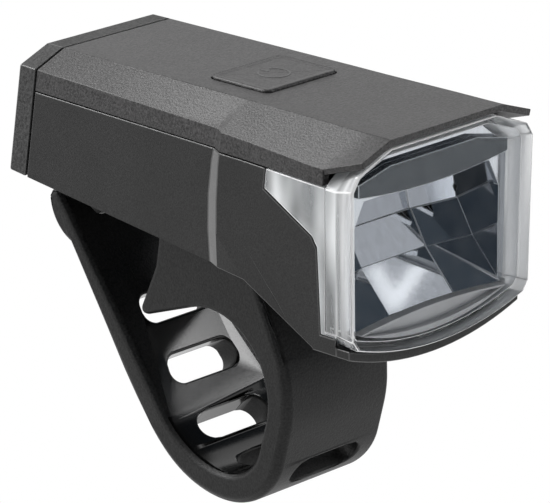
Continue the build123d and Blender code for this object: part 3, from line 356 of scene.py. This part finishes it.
def eased_piece(
        name, form, materials, body, replaced, easing, crease=15, segments=2, edge_material=-1):
    """A piece of that form with eased edges, which stands for the replaced nodes."""
    piece = new_object(name, form)
    if "custom_normal" in piece.data.attributes:
        piece.data.attributes.remove(piece.data.attributes["custom_normal"])
    for material in materials:
        piece.data.materials.append(material)
    eased = piece.modifiers.new("eased_edges", "BEVEL")
    eased.width = easing
    eased.segments = segments
    eased.limit_method = "ANGLE"
    eased.angle_limit = math.radians(crease)
    eased.use_clamp_overlap = False
    eased.harden_normals = True
    eased.material = edge_material
    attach(piece, body)
    for node in replaced:
        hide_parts(node)
    return piece


cover_black = moulded(
    "cover_black", (0.032, 0.031, 0.0315), roughness=0.44, grain=0.42 * mm, relief=0.12 * mm,
    specular=0.38, drift=0.1, speckle=0.9)
shell_black = moulded(
    "shell_black", (0.02, 0.02, 0.02), roughness=0.5, grain=0.3 * mm, relief=0.04 * mm,
    specular=0.25, drift=0.1, speckle=0.5)
cap_black = moulded(
    "cap_black", (0.033, 0.033, 0.033), roughness=0.62, grain=0.55 * mm, relief=0.2 * mm,
    specular=0.35, speckle=0.8)
# A lighter, glossier black for the eased edges of shell and cap: a painted highlight.
painted_edge_highlight_black = moulded(
    "painted_edge_highlight_black", (0.06, 0.06, 0.06), roughness=0.35, grain=0.3 * mm, relief=0.02 * mm,
    specular=0.5, drift=0.1, speckle=0.2)
# Lighter grey for the slanted band: a painted sheen.
painted_sheen_band_grey = moulded(
    "painted_sheen_band_grey", (0.15, 0.15, 0.15), roughness=0.5, grain=0.25 * mm, relief=0.02 * mm)
eased_piece("cover", solid_form("top_cover"), [cover_black], "lamp", ["top_cover"], cover_easing)
shell_form = solid_form("lower_shell")
# The slanted band's faces get the painted sheen grey.
for face in shell_form.faces:
    centre = face.calc_center_median()
    outward = face.normal.x * centre.x > 0
    if outward and abs(centre.x) > band_half and face.normal.y > band_turn:
        if band_front < centre.y < band_rear:
            face.material_index = 1
eased_piece(
    "shell", shell_form, [shell_black, painted_sheen_band_grey, painted_edge_highlight_black], "lamp", ["lower_shell"],
    shell_easing, crease=20, edge_material=2)
eased_piece(
    "cap", solid_form("rear_cap"), [cap_black, painted_edge_highlight_black], "lamp", ["rear_cap"],
    cap_easing, crease=20, edge_material=1)

# Seal and screws: a soft cord of rubber closes the cap's joint, and black
# socket screws with hexagon keys hold cap, shell and saddle. Four small ones
# like them hold the main board.
metal_detail = 4
metal_shade = 0.15
metal_wear = 0.3
screw_easing = 0.12 * mm


def worn_metal(name, colour, roughness, grain, stretch=(1, 1, 1)):
    """Metal with a fine drawn or ground grain and slight wear in its gloss."""
    material, tree, shader = new_finish(name)
    shader.inputs["Metallic"].default_value = 1
    grains = object_noise(tree, 1 / grain, metal_detail, stretch)
    dark = [channel * (1 - metal_shade) for channel in colour]
    pale = [min(1, channel * (1 + metal_shade)) for channel in colour]
    shade = two_tones(tree, grains, dark, pale, noise_low, noise_high)
    tree.links.new(shade, shader.inputs["Base Color"])
    wear = ranged(tree, grains, roughness * (1 - metal_wear), roughness * (1 + metal_wear))
    tree.links.new(wear, shader.inputs["Roughness"])
    return material


nodes["cap_seal"].material_slots[0].material = moulded(
    "seal_rubber", (0.012, 0.012, 0.012), roughness=0.7, grain=0.3 * mm, relief=0.02 * mm,
    specular=0.2)
screw_black = worn_metal("screw_black", (0.09, 0.09, 0.1), roughness=0.35, grain=0.6 * mm)
for kind, body in (("cap_screws", "lamp"), ("case_screws", "lamp"), ("saddle_screws", "mount")):
    eased_piece(
        "round_" + kind, solid_form(kind), [screw_black], body, [kind], screw_easing, crease=35)
nodes["board_screws"].material_slots[0].material = screw_black

# Button: a soft rubber key let into the cover, with a slightly raised rim.
# A plain ring and bar, the general sign for power, stands on its sunk face.
button_easing = 0.3 * mm
button_rim = 0.5 * mm
button_slope = 0.9 * mm
button_sink = 0.1 * mm
button_centre = (0, -4.1 * mm)
button_skirt = 61 * mm
button_rear = 1.5 * mm
button_far = 8 * mm
button_fit = 0.17 * mm
key_depth = 0.01 * mm
key_turn = 0.95
mark_radius = 3.15 * mm
mark_line = 0.42 * mm
mark_rise = 0.07 * mm
mark_gap = 1.5 * mm
mark_easing = 0.03 * mm
mark_steps = 60
bar_length = 2.2 * mm
bar_inset = 0.44 * mm
bar_height = 0.105 * mm
bar_lift = 0.0175 * mm
button_rubber = moulded(
    "button_rubber", (0.032, 0.031, 0.0315), roughness=0.44, grain=0.42 * mm, relief=0.1 * mm,
    specular=0.38, drift=0.1, speckle=0.9)
mark_rubber = moulded(
    "mark_rubber", (0.085, 0.085, 0.085), roughness=0.5, grain=0.3 * mm, relief=0.01 * mm)
button_form = solid_form("power_button")
key_level = max(corner.co.z for corner in button_form.verts)


def top_faces():
    """The button's faces that lie in its top."""
    level = [face for face in button_form.faces if face.normal.z > key_turn]
    return [face for face in level if face.calc_center_median().z > key_level - key_depth]


bmesh.ops.dissolve_faces(button_form, faces=top_faces())
key_faces = top_faces()
# The key fills its opening more closely at the rear and on the far side.
for corner in button_form.verts:
    if corner.co.z > button_skirt and corner.co.y > button_rear:
        corner.co.y += button_fit
    if corner.co.z > button_skirt and corner.co.x > button_far:
        corner.co.x += button_fit
bmesh.ops.inset_region(button_form, faces=key_faces, thickness=button_rim, depth=0)
bmesh.ops.inset_region(button_form, faces=key_faces, thickness=button_slope, depth=-button_sink)
for face in key_faces:
    face.smooth = False
eased_piece(
    "button", button_form, [button_rubber], "button", ["power_button"], button_easing, crease=30)

mark_form = bmesh.new()
start_angle = math.asin(mark_gap / mark_radius)
profile = []
for across, up in ((-0.5, -0.5), (0.5, -0.5), (0.5, 1.0), (-0.5, 1.0)):
    reach = mark_radius + across * mark_line
    profile.append(mark_form.verts.new((
        reach * math.sin(start_angle), reach * math.cos(start_angle), up * mark_rise)))
end_face = mark_form.faces.new(profile)
bmesh.ops.spin(
    mark_form, geom=[end_face], cent=(0, 0, 0), axis=(0, 0, -1),
    angle=2 * math.pi - 2 * start_angle, steps=mark_steps)
bar = bmesh.ops.create_cube(mark_form, size=1)["verts"]
bmesh.ops.scale(mark_form, verts=bar, vec=(mark_line, bar_length, bar_height))
bmesh.ops.translate(mark_form, verts=bar, vec=(0, mark_radius - bar_inset, bar_lift))
bmesh.ops.translate(
    mark_form, verts=mark_form.verts, vec=(*button_centre, key_level - button_sink))
bmesh.ops.recalc_face_normals(mark_form, faces=mark_form.faces)
mark = eased_piece("button_mark", mark_form, [mark_rubber], "button", [], mark_easing, crease=30)

# Front lens: one clear polished tray. Its front pane is looked through, and
# its thick rim and two side windows pipe the light, so they shine white. That
# white shine is painted, as streaks of white in the rim and windows, and the
# lens's eased edges are painted pale: a painted highlight.
streak_turn = math.radians(12)
streak_scale = 320
streak_detail = 1
streak_low = 0.35
streak_high = 0.65
lens_easing = 0.2 * mm
pane_half = 22.5 * mm
pane_depth = -45.5 * mm
pane_turn = 0.9
window_start = -43.0 * mm


def clear_plastic(name, tint, painted_shine_clearness, clear, bend, roughness, stretch=(1, 1, 1), darkest=1):
    """Clear polished plastic, with a share of painted white shine in streaks."""
    material, tree, shader = new_finish(name)
    shader.inputs["Roughness"].default_value = roughness
    shader.inputs["IOR"].default_value = bend
    streaks = object_noise(tree, streak_scale, streak_detail, stretch, streak_turn)
    weight = ranged(tree, streaks, painted_shine_clearness, clear, streak_low, streak_high)
    tree.links.new(weight, shader.inputs["Transmission Weight"])
    dim = [channel * darkest for channel in tint]
    shade = two_tones(tree, streaks, tint, dim, streak_low, streak_high)
    tree.links.new(shade, shader.inputs["Base Color"])
    return material


pane_clear = clear_plastic(
    "pane_clear", (0.97, 0.98, 0.99), painted_shine_clearness=0.99, clear=1, bend=1.005, roughness=0)
# The rim's and windows' white is painted shine, and the lens edge's pale is a painted highlight.
rim_painted_shine = clear_plastic(
    "rim_painted_shine", (0.93, 0.94, 0.95), painted_shine_clearness=0.2, clear=0.85, bend=1.2, roughness=0.03,
    stretch=(0.06, 1, 0.06), darkest=0.85)
window_painted_shine = clear_plastic(
    "window_painted_shine", (0.88, 0.9, 0.91), painted_shine_clearness=0.15, clear=0.75, bend=1.2, roughness=0.05,
    stretch=(0.12, 0.5, 0.12), darkest=0.75)
lens_edge_painted_highlight = clear_plastic(
    "lens_edge_painted_highlight", (0.95, 0.95, 0.96), painted_shine_clearness=0.05, clear=0.3, bend=1.3, roughness=0.1,
    stretch=(0.2, 1, 0.2), darkest=0.9)
lens_form = solid_form("front_lens")
for face in lens_form.faces:
    centre = face.calc_center_median()
    if abs(face.normal.y) > pane_turn and abs(centre.x) < pane_half and centre.y < pane_depth:
        face.material_index = 0
    elif centre.y > window_start:
        face.material_index = 2
    else:
        face.material_index = 1
eased_piece(
    "lens", lens_form, [pane_clear, rim_painted_shine, window_painted_shine, lens_edge_painted_highlight], "lamp", ["front_lens"],
    lens_easing, crease=30, edge_material=3)

# Reflector: moulded facets under a vacuum-laid mirror coat. The eased lines
# between the facets are painted pale, a painted highlight, and show as thin
# pale lines.
flow_scale = 900
flow_detail = 3
flow_stretch = (1, 1, 0.2)
coat_haze = 0.4
facet_easing = 0.09 * mm


def mirror_coat(name, colour, roughness, drift):
    """A vacuum-laid metal coat with faint flow lines from the moulding."""
    material, tree, shader = new_finish(name)
    shader.inputs["Metallic"].default_value = 1
    flow = object_noise(tree, flow_scale, flow_detail, flow_stretch)
    dark = [channel * (1 - drift) for channel in colour]
    shade = two_tones(tree, flow, dark, colour, noise_low, noise_high)
    tree.links.new(shade, shader.inputs["Base Color"])
    haze = ranged(tree, flow, roughness * (1 - coat_haze), roughness * (1 + coat_haze))
    tree.links.new(haze, shader.inputs["Roughness"])
    return material


facet_chrome = mirror_coat("facet_chrome", (0.62, 0.64, 0.67), roughness=0.04, drift=0.1)
# A pale finish for eased edges: a painted highlight.
pale_painted_highlight = moulded(
    "pale_painted_highlight", (0.8, 0.82, 0.84), roughness=0.3, grain=0.3 * mm, relief=0.01 * mm,
    specular=0.5, drift=0.04, speckle=0.03)
eased_piece(
    "mirror", solid_form("reflector"), [facet_chrome, pale_painted_highlight], "lamp", ["reflector"],
    facet_easing, crease=5, segments=1, edge_material=1)

# Shade: a dark mirror strip across the top of the reflector's mouth, with a
# bright line painted along its eased edge: a painted highlight.
shade_easing = 0.16 * mm
shade_dark = mirror_coat("shade_dark", (0.085, 0.093, 0.1), roughness=0.2, drift=0.08)
eased_piece(
    "shade", solid_form("reflector_shade"), [shade_dark, pale_painted_highlight], "lamp",
    ["reflector_shade"], shade_easing, crease=30, segments=1, edge_material=1)

# Sill: a satin grey plastic ledge below the mirror with a shallow almond dish,
# moulded by itself and set in behind the lower rim of the lens.
sill_easing = 0.15 * mm
sill_grey = moulded(
    "sill_grey", (0.5, 0.5, 0.505), roughness=0.3, grain=0.3 * mm, relief=0.01 * mm,
    specular=0.5, drift=0.08, speckle=0.05)
eased_piece(
    "sill", solid_form("lens_sill"), [sill_grey], "lamp", ["lens_sill"], sill_easing, crease=30)

# Light source: an emitter with a phosphor dome on its metal-core board, under
# an extruded aluminium heat sink.
nodes["led_board"].material_slots[0].material = moulded(
    "led_board_mask", (0.16, 0.16, 0.16), roughness=0.4, grain=0.3 * mm, relief=0.01 * mm,
    specular=0.4)
nodes["led_emitter"].material_slots[0].material = moulded(
    "phosphor_yellow", (0.75, 0.55, 0.1), roughness=0.25, grain=0.15 * mm, relief=0.01 * mm,
    specular=0.5)
nodes["heat_sink"].material_slots[0].material = worn_metal(
    "sink_metal", (0.5, 0.51, 0.52), roughness=0.35, grain=0.4 * mm, stretch=(1, 0.05, 1))

# Main board: glass-fibre laminate with a green mask over copper tracks, and
# on it a switch, a driver chip, a power coil and the battery's plug.
laminate_roughness = 0.3
laminate_shade = 0.85
track_scale = 260
track_width = 0.08


def masked_laminate(name, mask, track):
    """A lacquered laminate whose tracks show faintly through the mask."""
    material, tree, shader = new_finish(name)
    shader.inputs["Roughness"].default_value = laminate_roughness
    place = tree.nodes.new("ShaderNodeTexCoord")
    paths = tree.nodes.new("ShaderNodeTexBrick")
    paths.inputs["Scale"].default_value = track_scale
    paths.inputs["Mortar Size"].default_value = track_width
    paths.inputs["Color1"].default_value = (*mask, 1)
    paths.inputs["Color2"].default_value = (*[channel * laminate_shade for channel in mask], 1)
    paths.inputs["Mortar"].default_value = (*track, 1)
    tree.links.new(place.outputs["Object"], paths.inputs["Vector"])
    tree.links.new(paths.outputs["Color"], shader.inputs["Base Color"])
    return material


nodes["main_board"].material_slots[0].material = masked_laminate(
    "board_mask", mask=(0.02, 0.12, 0.05), track=(0.05, 0.2, 0.08))
pressed_steel = worn_metal(
    "pressed_steel", (0.55, 0.55, 0.56), roughness=0.3, grain=0.8 * mm, stretch=(1, 0.1, 1))
for node in ("tact_switch", "charge_socket", "flap_pin"):
    nodes[node].material_slots[0].material = pressed_steel
nodes["switch_plunger"].material_slots[0].material = moulded(
    "plunger_black", (0.02, 0.02, 0.02), roughness=0.35, grain=0.4 * mm, relief=0.01 * mm)
nodes["driver_chip"].material_slots[0].material = moulded(
    "chip_black", (0.018, 0.018, 0.019), roughness=0.6, grain=0.2 * mm, relief=0.02 * mm)
nodes["power_coil"].material_slots[0].material = moulded(
    "ferrite_grey", (0.06, 0.06, 0.065), roughness=0.55, grain=0.25 * mm, relief=0.03 * mm)
nodes["battery_plug"].material_slots[0].material = moulded(
    "nylon_natural", (0.7, 0.68, 0.6), roughness=0.4, grain=0.6 * mm, relief=0.01 * mm)

# Battery: a cell pack wrapped in blue film, held in a tray that is moulded in
# the same black plastic as the shell.
nodes["battery_pack"].material_slots[0].material = moulded(
    "battery_film", (0.06, 0.17, 0.4), roughness=0.3, grain=2.5 * mm, relief=0.06 * mm,
    specular=0.5, drift=0.2, speckle=0.15)
nodes["battery_tray"].material_slots[0].material = shell_black

# Flap: a door of soft moulded rubber that swings on a steel pin and covers the
# charging socket in the rear cap.
flap_easing = 0.25 * mm
flap_rubber = moulded(
    "flap_rubber", (0.022, 0.022, 0.022), roughness=0.68, grain=0.3 * mm, relief=0.03 * mm,
    specular=0.25)
eased_piece(
    "flap_door", solid_form("usb_flap"), [flap_rubber], "flap", ["usb_flap"], flap_easing,
    crease=35)

# Mount plate: glass-filled plastic with the slide rail's claws and the hook
# that the strap is drawn over.
plate_easing = 0.15 * mm
mount_black = moulded(
    "mount_black", (0.02, 0.02, 0.02), roughness=0.5, grain=0.3 * mm, relief=0.03 * mm,
    specular=0.25)
eased_piece(
    "plate", solid_form("mount_plate"), [mount_black], "mount", ["mount_plate"], plate_easing,
    crease=30)

# Strap: saddle and slotted strap in one piece of black silicone rubber. Its
# outside is matt from the mould, its inside is polished, and every rim and
# slot is well rounded.
strap_easing = 0.55 * mm
strap_overshoot = 0.25 * mm
strap_widening = 1.5 * mm
strap_forward = 0.8 * mm
strap_tightening = 0.5 * mm
rear_run_heights = (18 * mm, 8 * mm)
rear_run_depths = (-14 * mm, -4 * mm)
far_side_places = (-14 * mm, -11 * mm)
low_bend_heights = (-4 * mm, -18 * mm)
loop_centre = Vector((0, 3.0, -8.0)) * mm
side_turn = 0.5
inside_turn = 0.35
strap_matt = moulded(
    "strap_matt", (0.0085, 0.0085, 0.0085), roughness=0.46, grain=0.42 * mm, relief=0.13 * mm,
    specular=0.28, drift=0.1, speckle=0.9)
strap_polished = moulded(
    "strap_polished", (0.003, 0.003, 0.003), roughness=0.16, grain=0.5 * mm,
    relief=0.002 * mm, specular=0.4)
strap_form = solid_form("rubber_strap")
for face in strap_form.faces:
    inward = (loop_centre - face.calc_center_median()).normalized()
    if abs(face.normal.x) < side_turn and face.normal.dot(inward) > inside_turn:
        face.material_index = 1


def fading(value, none, full):
    """Nought at the first limit, one at the second, and smooth between them."""
    share = min(1.0, max(0.0, (value - none) / (full - none)))
    return share * share * (3 - 2 * share)


# The rear run is drawn out towards the far side, and the lower bend sits
# further forward and higher.
for corner in strap_form.verts:
    run = fading(corner.co.z, *rear_run_heights) * fading(corner.co.y, *rear_run_depths)
    across = fading(corner.co.x, *far_side_places)
    low = fading(corner.co.z, *low_bend_heights)
    corner.co.x += run * across * strap_widening
    corner.co.y -= low * strap_forward
    corner.co.z += low * strap_tightening
strap = eased_piece(
    "strap", strap_form, [strap_matt, strap_polished], "mount", ["rubber_strap"],
    strap_easing, crease=30, segments=3)

# Where the rounding overshoots at the tight bends, it is drawn back to the form.
plain_form = BVHTree.FromPolygons(
    [corner.co for corner in strap.data.vertices],
    [face.vertices[:] for face in strap.data.polygons])
rounded = bpy.data.meshes.new_from_object(
    strap.evaluated_get(bpy.context.evaluated_depsgraph_get()))
for corner in rounded.vertices:
    near, _, _, gap = plain_form.find_nearest(corner.co)
    if gap > strap_overshoot:
        corner.co = near
strap.modifiers.clear()
strap.data = rounded
